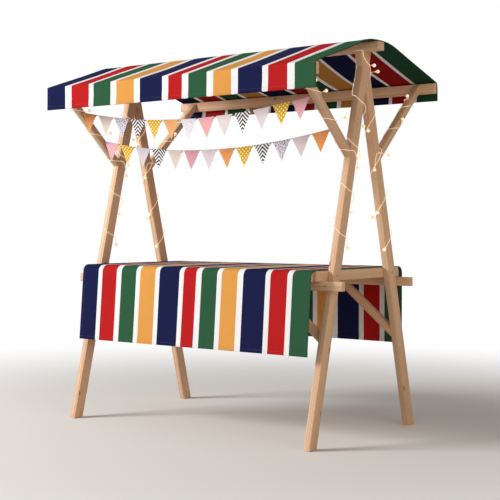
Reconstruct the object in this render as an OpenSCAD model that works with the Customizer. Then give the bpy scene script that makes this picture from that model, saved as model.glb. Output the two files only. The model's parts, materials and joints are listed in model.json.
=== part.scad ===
// Wooden market stall with a striped canopy, a table with a cloth, bunting and small lights.
// X runs along the stall, the customers stand at -Y, and Z points up from the ground.

/* [End frames] */
// Distance over the outer faces of the two end frames
frame_l = 1624; // [1400:1:1700]
// Thickness of the posts and struts along the stall
post_t = 37; // [30:1:45]
// Width of a post across its length
post_w = 60; // [50:1:70]
// Distance between the centre lines of a front and a rear foot
foot_centres = 935; // [860:1:1000]
// Height at which the centre lines of two posts cross
cross_z = 1876; // [1850:1:1900]
// Width of an upper strut across its length
strut_w = 34; // [26:1:40]
// Height at which a strut's centre line meets its post's centre line
strut_foot_z = 1410; // [1300:1:1500]
// Drop from an eave rail's top to where a strut's centre line meets the rail
strut_drop = 16; // [14:1:26]

/* [Roof timbers] */
// Height of the ridge beam
beam_h = 43; // [36:1:54]
// Width of the ridge beam
beam_w = 60; // [50:1:64]
// Height of an eave rail
eave_rail_h = 56; // [45:1:66]
// Thickness of an eave rail
eave_rail_t = 22; // [18:1:28]

/* [Canopy] */
// Length of the canopy and of the timbers that it covers
canopy_l = 1800; // [1740:1:2000]
// Depth of the canopy over its two valances
canopy_w = 1156; // [1060:1:1250]
// Height of the ridge above the ground
ridge_z = 2000; // [1980:1:2060]
// Height of the front eave fold above the ground
front_eave_z = 1836; // [1815:1:1850]
// Height of the rear eave fold above the ground
rear_eave_z = 1843; // [1820:1:1855]
// Distance from the ridge at which the straight slopes end and the round over the beam starts
ridge_round = 150; // [110:5:180]
// Drop from the ridge to the upper end of the straight front slope
front_round_drop = 16; // [12:1:24]
// Drop from the ridge to the upper end of the straight rear slope
rear_round_drop = 23; // [12:1:26]
// Length of the front valance below its fold
front_valance = 124; // [90:1:160]
// Length of the rear valance below its fold
rear_valance = 98; // [80:1:160]
// Thickness of the canopy cloth with its hems
canopy_t = 6; // [4:0.5:7]

/* [Table] */
// Height of the bare table top above the ground
table_z = 853.7; // [800:0.1:880]
// Depth of the table over its rounded edges
table_w = 854; // [780:1:900]
// Thickness of the end boards
end_board_t = 20; // [16:1:25]
// Height of the end boards and the edge boards
end_board_h = 51; // [45:1:56]
// Distance from the table's front and rear edges to the square ends of the end boards
end_inset = 41; // [38:1:48]
// Width of the edge boards between the end boards
edge_board_w = 50; // [48:1:60]
// Radius of the rounded table edges
edge_r = 35; // [28:1:36]
// Thickness of the table's top panel
panel_t = 18; // [12:1:24]
// Length of the table rails, which run past the posts
table_rail_l = 1780; // [1720:1:1850]
// Height of a table rail
table_rail_h = 46; // [38:1:55]
// Thickness of a table rail and of the knee braces under it
table_rail_t = 30; // [22:1:34]
// Height at which a knee brace's centre line meets its post
brace_foot_z = 513; // [450:1:560]
// Distance from a post to where a brace's centre line meets the table rail
brace_reach = 297; // [230:1:340]
// Width of a knee brace across its length
brace_w = 40; // [30:1:46]

/* [Table cloth] */
// Height of the cloth's hem above the ground
cloth_hem_z = 444; // [380:1:520]
// Lean of the front hang from upright, in degrees
front_flare = 4.6; // [0:0.1:7]
// Lean of the rear hang from upright, in degrees
rear_flare = 0; // [0:0.1:7]
// Thickness of the table cloth
cloth_t = 3; // [2:0.5:4]
// Gap between the cloth's ends and the posts
cloth_side_gap = 2; // [1:0.5:4]

/* [Bunting] */
// Diameter of the bunting strings
string_d = 3; // [2:0.5:4]
// Width of a flag along its string
flag_w = 100; // [80:1:105]
// Height of a flag
flag_h = 96; // [70:1:104]
// Thickness of a flag
flag_t = 1; // [0.6:0.1:1.5]

/* [Lights] */
// Diameter of the light cables
cable_d = 3; // [2:0.2:4]
// Height that the cable climbs in one turn round a front post
front_pitch = 223; // [200:1:240]
// Height that the cable climbs in one turn round a rear post
rear_pitch = 210; // [200:1:240]
// Lowest height that a cable reaches on a post
cable_foot_z = 960; // [900:1:1100]
// Diameter of a light bulb
bulb_d = 18; // [12:1:20]
// Diameter of the leads that carry the bulbs
lead_d = 2; // [1.2:0.2:2.6]

/* [Hidden] */
// Gap between the cloths and the pieces that they lie on, and round what is tied on
soft_gap = 0.3;
// Overrun of a cut past the face that it opens
cut_over = 1;
WOOD = [0.86, 0.70, 0.53];
CLOTH = [0.93, 0.92, 0.90];
CORD = [0.90, 0.86, 0.76];
WARM = [1.0, 0.88, 0.62];

frame_out = frame_l / 2;
frame_in = frame_out - post_t;
frame_mid = frame_out - post_t / 2;
post_slope = foot_centres / 2 / cross_z;
post_lean = atan(post_slope);
post_cut = post_w / cos(post_lean);

canopy_y = canopy_w / 2;
// The two slopes of the canopy: height of the fold, drop to the upper end of the straight part
front_slope = [front_eave_z, front_round_drop];
rear_slope = [rear_eave_z, rear_round_drop];
beam_top = min(roof_z(beam_w / 2, front_slope, canopy_t), roof_z(beam_w / 2, rear_slope, canopy_t))
    - soft_gap;
post_top = beam_top - beam_h;
eave_rail_y = canopy_y - canopy_t - soft_gap;
front_rail_top = roof_z(eave_rail_y, front_slope, canopy_t) - soft_gap;
rear_rail_top = roof_z(eave_rail_y, rear_slope, canopy_t) - soft_gap;
strut_top = min(front_rail_top, rear_rail_top);
strut_head = [eave_rail_y - eave_rail_t, strut_top - strut_drop];

table_rail_top = table_z - end_board_h;
table_rail_z = table_rail_top - table_rail_h;
table_rail_y = post_cut / 2 - post_y(table_rail_z);
cloth_l = 2 * (frame_in - cloth_side_gap);

// Points of the upper and the lower bunting string, from the left strut to the right one
upper_route = [
    [-774.5, -440, 1702], [-644, -440, 1678], [-524, -440, 1659], [-404, -440, 1644],
    [-284, -440, 1633], [-169, -440, 1627], [-49, -440, 1623], [71, -440, 1622],
    [191, -440, 1626], [306, -440, 1632], [426, -440, 1642], [546, -440, 1656],
    [666, -440, 1672], [774.5, -440, 1689]
];
lower_route = [
    [-774.5, -260, 1551], [-655, -260, 1529], [-535, -260, 1509], [-415, -260, 1494],
    [-295, -260, 1483], [-180, -260, 1476], [-60, -260, 1473], [60, -260, 1473],
    [180, -260, 1476], [295, -260, 1483], [415, -260, 1494], [535, -260, 1508],
    [655, -260, 1525], [774.5, -260, 1545]
];
// Rings of a string's tube and of a cable's between two of its points
string_rings = 3;
cable_rings = 2;
cord_sides = 8;

// Way from the wood's surface to the middle of a cable on it
cable_off = cable_d / 2 + soft_gap;
// Most turns that a cable takes round a post, and the height of the first turn on a front post
// and on a rear one above the foot of the struts
cable_turns = 4;
front_start = 330;
rear_start = 291;
// One turn round a front post and a rear one: bearing from the outer side, fall, slack
front_turn = [
    [225, 0, 0], [270, 16, 0], [315, 33, 0], [360, 46, 0], [405, 60, 2],
    [430, 90, 24], [450, 115, 22], [470, 140, 8], [495, 160, 0], [540, 195, 0]
];
rear_turn = [
    [225, 0, 0], [270, 16, 8], [315, 26, 5], [335, 60, 5], [360, 84, 0],
    [405, 108, 0], [450, 133, 0], [495, 168, 0], [540, 192, 0]
];
// Over the post tops: inner or outer side, distance from the middle, height over the tops
top_run = [
    [-1, -30, -90], [-1, -38, -12], [-1, -39, cable_off], [1, -39, cable_off],
    [1, -32, -15], [1, -20, -35], [1, 10, -55], [1, 28, -65]
];
// Down the rear post to its turns: bearing, fall from the tops, slack
rear_lead_in = [[315, 100, 0], [285, 150, 4], [270, 210, 4]];
// Shares of a strut's length at which its turns start, and the points of one turn: bearing, fall
strut_turns = [0.79, 0.48, 0.13];
strut_turn = [[225, 0], [315, 17], [405, 22], [495, 40]];
// Upper end of a strut's cable before its first turn: bearing, fall
strut_start = [[90, -25], [135, -15]];
// Lower end on the post: distance behind the post's rear face, height over the strut's foot
strut_tail = [[-38, 35], [-9, 10], [9, -30]];
// Bulbs on the posts: turn, point of that turn, way from there to the bulb
front_lights = [
    [0, 7, [15, 20, -30]], [1, 5, [15, -10, 10]], [2, 7, [30, 0, -20]], [2, 9, [-10, -20, 10]]
];
rear_lights = [[0, 6, [20, -15, 0]], [2, 6, [5, -15, -10]], [2, 7, [-20, 5, -5]]];
// Bulbs at the post tops: point of the stretch over them, way from there to the bulb
top_lights = [[7, [30, 0, -15]], [8, [25, 20, 20]]];
// Bulbs on the struts: point of the cable, way from there to the bulb
front_strut_lights = [[0, [-10, 25, 0]], [4, [15, 20, 5]], [8, [35, 30, 15]]];
rear_strut_lights = [[0, [-10, 25, 0]], [7, [10, -10, 45]], [11, [20, 0, -10]]];
// Length from the end of a cable to the middle of the bulb there
end_lead = 22;

// Distance of a front post's centre line from the middle of the stall, at height z
function post_y(z) = post_slope * z - foot_centres / 2;

// Height on a slope of the canopy at distance y from the middle, under a cloth of thickness t:
// straight from the fold up to the round, then a curve that runs on level over the ridge
function roof_z(y, slope, t = 0) = let (
    rise = (ridge_z - slope[1] - slope[0]) / (canopy_y - ridge_round),
    power = rise * ridge_round / slope[1],
    share = min(y / ridge_round, 1),
    outer = y > ridge_round ? slope[0] + rise * (canopy_y - y)
        : ridge_z - slope[1] * pow(share, power)
) outer - t * norm([1, rise * pow(share, power - 1)]);

// A flat outline in the plane across the stall, made into a board between x and x + t
module across(x, t) {
    translate([x, 0, 0]) rotate([90, 0, 90]) linear_extrude(t) children();
}

// A flat outline in the plane along the stall, made into a board between y and y + t
module along(y, t) {
    translate([0, y + t, 0]) rotate([90, 0, 0]) linear_extrude(t) children();
}

module mirror_left() { mirror([1, 0, 0]) children(); }
module mirror_rear() { mirror([0, 1, 0]) children(); }

// Outline of a front post, with its top cut level
module post_outline(top = post_top) {
    polygon([for (c = [[-1, 0], [1, 0], [1, top], [-1, top]])
        [post_y(c[1]) + c[0] * post_cut / 2, c[1]]]);
}

// Front right post: its inner half is cut away where the rear post crosses it
module front_post() {
    color(WOOD) difference() {
        across(frame_in, post_t) post_outline();
        across(frame_in - cut_over, post_t / 2 + cut_over)
            mirror([1, 0]) post_outline(post_top + cut_over);
    }
}

// Rear right post: its outer half is cut away where the front post crosses it
module rear_post() {
    color(WOOD) difference() {
        across(frame_in, post_t) mirror([1, 0]) post_outline();
        across(frame_mid, post_t / 2 + cut_over) post_outline(post_top + cut_over);
    }
}

// Front right strut: its foot is cut along the post's face, its head along the eave rail's
module strut() {
    foot = [-post_y(strut_foot_z), strut_foot_z];
    run = strut_head - foot;
    angle = atan2(run[1], run[0]);
    color(WOOD) across(frame_in, post_t) mirror([1, 0]) intersection() {
        difference() {
            translate(foot) rotate(angle)
                translate([0, -strut_w / 2]) square([norm(run) + strut_w, strut_w]);
            mirror([1, 0]) post_outline();
        }
        square([strut_head[0], strut_top]);
    }
}

// Front right knee brace: its foot is cut along the post's face, its head under the rail
module brace() {
    foot = [frame_in, brace_foot_z];
    head = [frame_in - brace_reach, table_rail_z];
    run = head - foot;
    angle = atan2(run[1], run[0]);
    color(WOOD) along(-table_rail_y - table_rail_t, table_rail_t) intersection() {
        translate(foot) rotate(angle)
            translate([-2 * brace_w, -brace_w / 2]) square([norm(run) + 4 * brace_w, brace_w]);
        square([frame_in, table_rail_z]);
    }
}

module ridge_beam() {
    color(WOOD) translate([-canopy_l / 2, -beam_w / 2, post_top]) cube([canopy_l, beam_w, beam_h]);
}

module eave_rail(top) {
    color(WOOD) translate([-canopy_l / 2, -eave_rail_y, top - eave_rail_h])
        cube([canopy_l, eave_rail_t, eave_rail_h]);
}

module table_rail() {
    color(WOOD) translate([-table_rail_l / 2, -table_rail_y - table_rail_t, table_rail_z])
        cube([table_rail_l, table_rail_t, table_rail_h]);
}

module table_end() {
    w = table_w - 2 * end_inset;
    color(WOOD) translate([frame_in - end_board_t, -w / 2, table_rail_top])
        cube([end_board_t, w, end_board_h]);
}

// Front edge board, between the end boards, with its outer top edge rounded
module table_edge() {
    l = 2 * (frame_in - end_board_t);
    color(WOOD) across(-l / 2, l) difference() {
        translate([-table_w / 2, table_rail_top]) square([edge_board_w, end_board_h]);
        difference() {
            translate([-table_w / 2 - cut_over, table_z - edge_r]) square(edge_r + cut_over);
            translate([edge_r - table_w / 2, table_z - edge_r]) circle(edge_r, $fn = 96);
        }
    }
}

module table_top() {
    l = 2 * (frame_in - end_board_t);
    w = table_w - 2 * edge_board_w;
    color(WOOD) translate([-l / 2, -w / 2, table_z - panel_t]) cube([l, w, panel_t]);
}

// One face of a slope's section from its fold nearly to the ridge, in by t
function slope_line(slope, t) = let (steps = 10)
    [for (y = [canopy_y - t, for (i = [steps : -1 : 1]) ridge_round * i / steps])
        [y, roof_z(y, slope, t)]];

// One face of the canopy's section, from the front hem over the ridge to the rear hem
function canopy_line(t) = concat(
    [[t - canopy_y, front_eave_z - front_valance]],
    [for (p = slope_line(front_slope, t)) [-p[0], p[1]]],
    [[0, ridge_z - t]],
    reversed(slope_line(rear_slope, t)),
    [[canopy_y - t, rear_eave_z - rear_valance]]);

function reversed(list) = [for (i = [len(list) - 1 : -1 : 0]) list[i]];

module canopy() {
    color(CLOTH) across(-canopy_l / 2, canopy_l)
        polygon(concat(canopy_line(0), reversed(canopy_line(canopy_t))));
}

// Half of one face of the cloth's section, from the hem up: radius r, lean of the hang
function cloth_half(r, flare) = let (
    steps = 10,
    arc = [for (i = [0 : steps]) let (a = flare + (90 - flare) * i / steps)
        [table_w / 2 - edge_r + r * cos(a), table_z - edge_r + r * sin(a)]]
) concat([arc[0] + (arc[0][1] - cloth_hem_z) * [tan(flare), -1]], arc);

// One face of the cloth's section, at radius r round the table's rounded edges
function cloth_line(r) = concat(
    [for (p = cloth_half(r, front_flare)) [-p[0], p[1]]],
    reversed(cloth_half(r, rear_flare)));

module table_cloth() {
    inner = edge_r + soft_gap;
    color(CLOTH) across(-cloth_l / 2, cloth_l)
        polygon(concat(cloth_line(inner + cloth_t), reversed(cloth_line(inner))));
}

function unit(v) = v / norm(v);

// Direction of a route at its point i, halfway between the stretches that meet there
function heading(route, i) = let (
    before = i > 0 ? unit(route[i] - route[i - 1]) : unit(route[1] - route[0]),
    after = i < len(route) - 1 ? unit(route[i + 1] - route[i]) : before
) unit(before + after);

// The part of v that is square to the direction t, as a unit vector
function square_to(v, t) = unit(v - (v * t) * t);

// Directions square to a route, one at each point, carried along it without a twist
function carried(route) = let (
    last = len(route) - 1,
    t = heading(route, 0),
    start = square_to(abs(t[0]) < 0.5 ? [1, 0, 0] : [0, 0, 1], t)
) [for (i = 0, u = start; i <= last; i = i + 1, u = square_to(u, heading(route, min(i, last)))) u];

// A round cord of diameter d swept along a route
module swept_cord(route, d) {
    n = cord_sides;
    rings = len(route);
    sides = carried(route);
    points = [for (i = [0 : rings - 1]) let (
        u = sides[i],
        v = cross(u, heading(route, i))
    ) for (k = [0 : n - 1]) route[i] + d / 2 * (cos(360 * k / n) * u + sin(360 * k / n) * v)];
    walls = [for (i = [0 : rings - 2]) for (k = [0 : n - 1]) let (
        a = i * n + k,
        b = i * n + (k + 1) % n
    ) each [[a, b, b + n], [a, b + n, a + n]]];
    caps = [[for (k = [n - 1 : -1 : 0]) k], [for (k = [0 : n - 1]) (rings - 1) * n + k]];
    polyhedron(points, concat(walls, caps));
}

// A smooth curve through a route's points, with a number of steps between two of them
function smooth_route(route, steps) = let (last = len(route) - 1) concat(
    [for (i = [0 : last - 1]) for (k = [0 : steps - 1]) let (
        u = k / steps,
        a = route[max(i - 1, 0)],
        b = route[i],
        c = route[i + 1],
        d = route[min(i + 2, last)]
    ) b + u / 2 * (c - a) + u * u / 2 * (2 * a - 5 * b + 4 * c - d)
        + u * u * u / 2 * (3 * b - a - 3 * c + d)],
    [route[last]]);

module bunting_string(route) {
    color(CORD) swept_cord(smooth_route(route, string_rings), string_d);
}

// One flag between each two points of a string, hung just under it
module bunting_flags(route) {
    for (i = [0 : len(route) - 2]) {
        a = route[i];
        b = route[i + 1];
        mid = (a + b) / 2;
        side = (b - a) / norm(b - a) * flag_w / 2;
        drop = [0, 0, string_d / 2 + 3 * soft_gap];
        color(CLOTH) along(mid[1] - flag_t / 2, flag_t)
            polygon([for (p = [mid - side - drop, mid - [0, 0, flag_h], mid + side - drop])
                [p[0], p[2]]]);
    }
}

// A point of a cable round a bar of the right end frame, at bearing a from the bar's outer side:
// mid is the bar's middle and half its half width at that height, out is the slack off the bar
function round_bar(mid, half, a, z, out) = let (face = max(abs(cos(a)), abs(sin(a)))) [
    frame_mid + ((post_t / 2 + cable_off) / face + out) * cos(a),
    mid + ((half + cable_off) / face + out) * sin(a),
    z
];

function round_post(a, z, out = 0) = round_bar(post_y(z), post_cut / 2, a, z, out);

// The same round the front strut, at the share t of its length from its foot, and down by fall
function round_strut(a, t, fall) = let (
    foot = [post_y(strut_foot_z), strut_foot_z],
    run = [-strut_head[0], strut_head[1]] - foot,
    z = strut_foot_z + run[1] * t - fall,
    mid = foot[0] + run[0] * (z - foot[1]) / run[1],
    half = (strut_w / 2 + cable_off) * norm(run) / run[1] - cable_off
) round_bar(mid, half, a, z, 0);

// Point j of turn k round the front post, and round the rear one
function front_point(k, j) = let (p = front_turn[j])
    round_post(p[0], strut_foot_z + front_start - front_pitch * k - p[1], p[2]);
function rear_point(k, j) = let (p = rear_turn[j])
    to_rear(round_post(p[0], strut_foot_z + rear_start - rear_pitch * k - p[1], p[2]));

function to_rear(p) = [p[0], -p[1], p[2]];

// The points of a list that a cable on a post may reach
function above_foot(points) = [for (p = points) if (p[2] > cable_foot_z) p];

// From the foot of the front post's turns up, over the post tops and down the rear post
front_climb = reversed(above_foot([for (k = [0 : cable_turns])
    for (j = [0 : len(front_turn) - 1]) front_point(k, j)]));
over_tops = concat(
    [for (p = top_run) [frame_mid + p[0] * (post_t / 2 + cable_off), p[1], post_top + p[2]]],
    [for (p = rear_lead_in) to_rear(round_post(p[0], post_top - p[1], p[2]))]);
rear_fall = above_foot([for (k = [0 : cable_turns])
    for (j = [k == 0 ? 1 : 0 : len(rear_turn) - 1]) rear_point(k, j)]);
post_route = concat(front_climb, over_tops, rear_fall);

// Down the front strut, and from its foot over the post's outer face to the lower end
strut_route = concat(
    [for (p = strut_start) round_strut(p[0], strut_turns[0], p[1])],
    [for (t = strut_turns) for (p = strut_turn) if (t != strut_turns[2] || p[0] < 360)
        round_strut(p[0], t, p[1])],
    [for (p = strut_tail) let (z = strut_foot_z + p[1])
        [frame_mid + post_t / 2 + cable_off, post_y(z) + post_cut / 2 + p[0], z]]);

post_curve = smooth_route(post_route, cable_rings);
front_strut_curve = smooth_route(strut_route, cable_rings);
rear_strut_curve = [for (p = front_strut_curve) to_rear(p)];

module light_cable() {
    for (curve = [post_curve, front_strut_curve, rear_strut_curve])
        color(CORD) swept_cord(curve, cable_d);
}

// A bulb on its lead, which starts at a place off a cable's middle line and goes the given way
module light_bulb(place, way, start) {
    l = norm(way);
    color(WARM) translate(place) rotate([0, acos(way[2] / l), atan2(way[1], way[0])]) {
        translate([0, 0, start]) cylinder(h = l - start, d = lead_d, $fn = 24);
        translate([0, 0, l]) sphere(d = bulb_d, $fn = 48);
    }
}

// A bulb whose lead leaves the cable square to it, at point i of its route
module side_light(curve, i, way) {
    at = i * cable_rings;
    light_bulb(curve[at], square_to(way, heading(curve, at)) * norm(way), cable_off + soft_gap);
}

// A bulb whose lead carries on from the cable's end
module end_light(curve) {
    last = len(curve) - 1;
    light_bulb(curve[last], heading(curve, last) * end_lead, soft_gap);
}

module light_bulbs() {
    climb = len(front_climb);
    top = climb + len(over_tops);
    for (b = front_lights)
        side_light(post_curve, climb - 1 - b[0] * len(front_turn) - b[1], b[2]);
    for (b = top_lights) side_light(post_curve, climb + b[0], b[1]);
    for (b = rear_lights)
        side_light(post_curve, top - 1 + b[0] * len(rear_turn) + b[1], b[2]);
    for (b = front_strut_lights) side_light(front_strut_curve, b[0], b[1]);
    for (b = rear_strut_lights) side_light(rear_strut_curve, b[0], to_rear(b[1]));
    end_light(post_curve);
    end_light(reversed(post_curve));
    end_light(front_strut_curve);
    end_light(rear_strut_curve);
}

// What is wound on the left end frame is a copy of what is on the right one, not its mirror image
module to_left() { translate([-2 * frame_mid, 0, 0]) children(); }

front_post();  // front_right_post
mirror_left() front_post();  // front_left_post
rear_post();  // rear_right_post
mirror_left() rear_post();  // rear_left_post
strut();  // front_right_strut
mirror_left() strut();  // front_left_strut
mirror_rear() strut();  // rear_right_strut
mirror_left() mirror_rear() strut();  // rear_left_strut
brace();  // front_right_brace
mirror_left() brace();  // front_left_brace
mirror_rear() brace();  // rear_right_brace
mirror_left() mirror_rear() brace();  // rear_left_brace
ridge_beam();
eave_rail(front_rail_top);  // front_eave_rail
mirror_rear() eave_rail(rear_rail_top);  // rear_eave_rail
table_rail();  // front_table_rail
mirror_rear() table_rail();  // rear_table_rail
table_end();  // right_table_end
mirror_left() table_end();  // left_table_end
table_edge();  // front_table_edge
mirror_rear() table_edge();  // rear_table_edge
table_top();
canopy();
table_cloth();
bunting_string(upper_route);  // upper_string
bunting_string(lower_route);  // lower_string
bunting_flags(upper_route);  // upper_flags
bunting_flags(lower_route);  // lower_flags
light_cable();  // right_light_cable
to_left() light_cable();  // left_light_cable
light_bulbs();  // right_light_bulbs
to_left() light_bulbs();  // left_light_bulbs
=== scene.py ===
import bpy
import json
import random
from math import atan2, cos, pi, radians, sin, tan
from mathutils import Matrix, Vector


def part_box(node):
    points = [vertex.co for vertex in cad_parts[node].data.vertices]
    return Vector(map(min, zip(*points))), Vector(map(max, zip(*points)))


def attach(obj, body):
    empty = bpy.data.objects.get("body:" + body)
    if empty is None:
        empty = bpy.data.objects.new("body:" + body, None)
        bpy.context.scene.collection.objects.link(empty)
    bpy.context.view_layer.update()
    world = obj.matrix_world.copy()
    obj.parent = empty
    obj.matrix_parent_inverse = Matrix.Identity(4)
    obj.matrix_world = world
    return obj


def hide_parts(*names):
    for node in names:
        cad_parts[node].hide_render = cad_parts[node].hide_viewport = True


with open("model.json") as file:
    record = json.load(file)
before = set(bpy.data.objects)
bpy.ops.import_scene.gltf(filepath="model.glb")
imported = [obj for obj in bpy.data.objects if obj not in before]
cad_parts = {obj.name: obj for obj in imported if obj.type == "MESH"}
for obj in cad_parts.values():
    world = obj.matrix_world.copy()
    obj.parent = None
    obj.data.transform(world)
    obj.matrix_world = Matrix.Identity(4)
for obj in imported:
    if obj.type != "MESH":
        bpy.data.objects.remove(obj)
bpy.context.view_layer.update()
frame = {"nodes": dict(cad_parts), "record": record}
mm = 0.001
print("frame loaded")

# Camera at the photograph's viewing angle
cameraView = {
    "place": (3.9674, -5.0542, 1.0754),
    "azimuth": 37.6139,  # degrees round from looking along +Y
    "down": 1.2126,  # degrees under the horizon
    "lens": 84.42,
    "sensor": 36,
}
bpy.ops.object.camera_add(
    location=cameraView["place"],
    rotation=(radians(90 - cameraView["down"]), 0, radians(cameraView["azimuth"])),
)
camera = bpy.context.object
camera.name = "stallCamera"
camera.data.lens = cameraView["lens"]
camera.data.sensor_width = cameraView["sensor"]
bpy.context.scene.camera = camera
print("camera placed")


def chooseOnly(piece):
    if bpy.context.object and bpy.context.object.mode != "OBJECT":
        bpy.ops.object.mode_set(mode="OBJECT")
    bpy.ops.object.select_all(action="DESELECT")
    piece.select_set(True)
    bpy.context.view_layer.objects.active = piece


def applyModifier(piece, kind, **settings):
    chooseOnly(piece)
    modifier = piece.modifiers.new(kind.title(), kind)
    for name, value in settings.items():
        setattr(modifier, name, value)
    bpy.ops.object.modifier_apply(modifier=modifier.name)


def smoothShade(piece, angle):
    chooseOnly(piece)
    bpy.ops.object.shade_smooth_by_angle(angle=radians(angle))


# Goes into edit mode with only the points chosen that pass a test of their place
def choosePoints(piece, passes):
    chooseOnly(piece)
    bpy.ops.object.mode_set(mode="EDIT")
    bpy.ops.mesh.select_mode(type="VERT")
    bpy.ops.mesh.select_all(action="DESELECT")
    bpy.ops.object.mode_set(mode="OBJECT")
    for point in piece.data.vertices:
        point.select = passes(point.co)
    bpy.ops.object.mode_set(mode="EDIT")


def extrudeAlong(step, widen):
    bpy.ops.mesh.extrude_region_move(TRANSFORM_OT_translate={"value": (0, 0, step)})
    bpy.ops.transform.resize(value=(widen, widen, 1), center_override=(0, 0, 0))


# Moves all of a piece in edit mode up, and leaves that mode
def raiseAll(step):
    bpy.ops.mesh.select_all(action="SELECT")
    bpy.ops.transform.translate(value=(0, 0, step))
    bpy.ops.object.mode_set(mode="OBJECT")


def addPrimitive(operator, **settings):
    bpy.ops.object.select_all(action="DESELECT")
    operator(**settings)
    return bpy.context.object


def settle(piece, node):
    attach(piece, "root")
    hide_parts(node)


def addPiece(name, mesh):
    piece = bpy.data.objects.new(name, mesh)
    bpy.context.collection.objects.link(piece)
    return piece


# A copy of a model that stands along +Z, put at a place and turned along a way
def placedCopy(name, model, place, way):
    copy = addPiece(name, model.data.copy())
    copy.data.transform(Matrix.Translation(place) @ way.to_track_quat("Z", "Y").to_matrix().to_4x4())
    return copy


def joinPieces(pieces):
    chooseOnly(pieces[0])
    for piece in pieces[1:]:
        piece.select_set(True)
    bpy.ops.object.join()
    return pieces[0]


def rgb(red, green, blue):
    # a screen colour from 0 to 255 as a linear one
    parts = [c / 255 for c in (red, green, blue)]
    return tuple(c / 12.92 if c <= 0.04045 else ((c + 0.055) / 1.055) ** 2.4 for c in parts) + (1,)


# Small helpers for node trees
def newMaterial(name):
    material = bpy.data.materials.new(name)
    material.use_nodes = True
    return material, material.node_tree, material.node_tree.nodes["Principled BSDF"]


def plug(tree, socket, value):
    if isinstance(value, bpy.types.NodeSocket):
        tree.links.new(value, socket)
    else:
        socket.default_value = value


# Sets or links a node's sockets, each named with _ for a blank
def setSockets(tree, node, **sockets):
    for name, value in sockets.items():
        plug(tree, node.inputs[name.replace("_", " ")], value)


def addNode(tree, kind, settings=None, **sockets):
    node = tree.nodes.new("ShaderNode" + kind)
    for name, value in (settings or {}).items():
        setattr(node, name, value)
    setSockets(tree, node, **sockets)
    return node


def calc(tree, operation, first, second=0.0, third=0.0):
    node = addNode(tree, "Math", {"operation": operation})
    for socket, value in zip(node.inputs, (first, second, third)):
        plug(tree, socket, value)
    return node.outputs[0]


def blendColours(tree, share, first, second, way="MIX"):
    node = addNode(tree, "Mix", {"data_type": "RGBA", "blend_type": way})
    for i, value in ((0, share), (6, first), (7, second)):  # the colours' own sockets
        plug(tree, node.inputs[i], value)
    return node.outputs[2]


def rampOf(tree, value, stops, interpolation="LINEAR"):
    node = addNode(tree, "ValToRGB")
    node.color_ramp.interpolation = interpolation
    elements = node.color_ramp.elements
    while len(elements) < len(stops):
        elements.new(0.5)
    for element, (place, colour) in zip(elements, stops):
        element.position = place
        element.color = colour
    plug(tree, node.inputs[0], value)
    return node.outputs[0]


def bumpOf(tree, shader, height, strength, distance):
    node = addNode(tree, "Bump", Strength=strength, Distance=distance, Height=height)
    tree.links.new(node.outputs[0], shader.inputs["Normal"])


def grey(level):
    return (level, level, level, 1)


def objectPlace(tree):
    return addNode(tree, "TexCoord").outputs["Object"]


# The place in a piece's own UV map, whole and in its two parts
def flatPlace(tree):
    flat = addNode(tree, "UVMap", {"uv_map": "flat"}).outputs[0]
    parts = addNode(tree, "SeparateXYZ", Vector=flat)
    return flat, parts.outputs[0], parts.outputs[1]


def stretch(tree, place, scale):
    return addNode(tree, "Mapping", {"vector_type": "POINT"}, Vector=place, Scale=scale).outputs[0]


def noiseOf(tree, place, scale, detail):
    return addNode(tree, "TexNoise", Vector=place, Scale=scale, Detail=detail).outputs[0]


# A colour multiplied by a shade where a noise is under low, and left alone where it is over high
def shadeBy(tree, colour, noise, low, high, shade, share=1.0):
    tone = rampOf(tree, noise, [(low, shade), (high, grey(1))])
    return blendColours(tree, share, colour, tone, "MULTIPLY")


def mixShaders(tree, share, first, second, output):
    mix = addNode(tree, "MixShader")
    for socket, value in zip(mix.inputs, (share, first, second)):
        plug(tree, socket, value)
    tree.links.new(mix.outputs[0], tree.nodes[output].inputs[0])


# A mesh from places, faces and one flat place for each corner of each face
def meshPiece(name, places, faces, flat):
    mesh = bpy.data.meshes.new(name)
    mesh.from_pydata([tuple(p) for p in places], [], faces)
    layer = mesh.uv_layers.new(name="flat")
    for corner, place in zip(layer.data, (p for face in flat for p in face)):
        corner.uv = place
    return addPiece(name, mesh)


# A mesh from rows of points, wide points to a row, each with its flat place
def gridPiece(name, places, flat, wide, turned=False):
    faces = [(a, a + 1, a + wide + 1, a + wide) for a in range(len(places) - wide) if (a + 1) % wide]
    if turned:
        faces = [(a, d, c, b) for a, b, c, d in faces]
    return meshPiece(name, places, faces, [[flat[v] for v in face] for face in faces])


# A smooth line through points, with a number of steps from each to the next
def smoothLine(points, steps):
    last = len(points) - 1
    line = []
    for i in range(last):
        a, b, c, d = points[max(i - 1, 0)], points[i], points[i + 1], points[min(i + 2, last)]
        for k in range(steps):
            u = k / steps
            bent = u * u / 2 * (2 * a - 5 * b + 4 * c - d) + u**3 / 2 * (3 * b - a - 3 * c + d)
            line.append(b + u / 2 * (c - a) + bent)
    return line + [points[last]]


# The length from a line's start to each of its points
def lengthsAlong(line):
    lengths = [0.0]
    for a, b in zip(line, line[1:]):
        lengths.append(lengths[-1] + (b - a).length)
    return lengths


def wayAt(line, i):
    return (line[min(i + 1, len(line) - 1)] - line[max(i - 1, 0)]).normalized()


# Two directions square to a line at each of its points, carried along without a twist
def carriedAxes(line):
    axes, side = [], None
    for i in range(len(line)):
        way = wayAt(line, i)
        side = side or way.orthogonal()
        side = (side - way * side.dot(way)).normalized()
        axes.append((side, way.cross(side)))
    return axes


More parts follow.
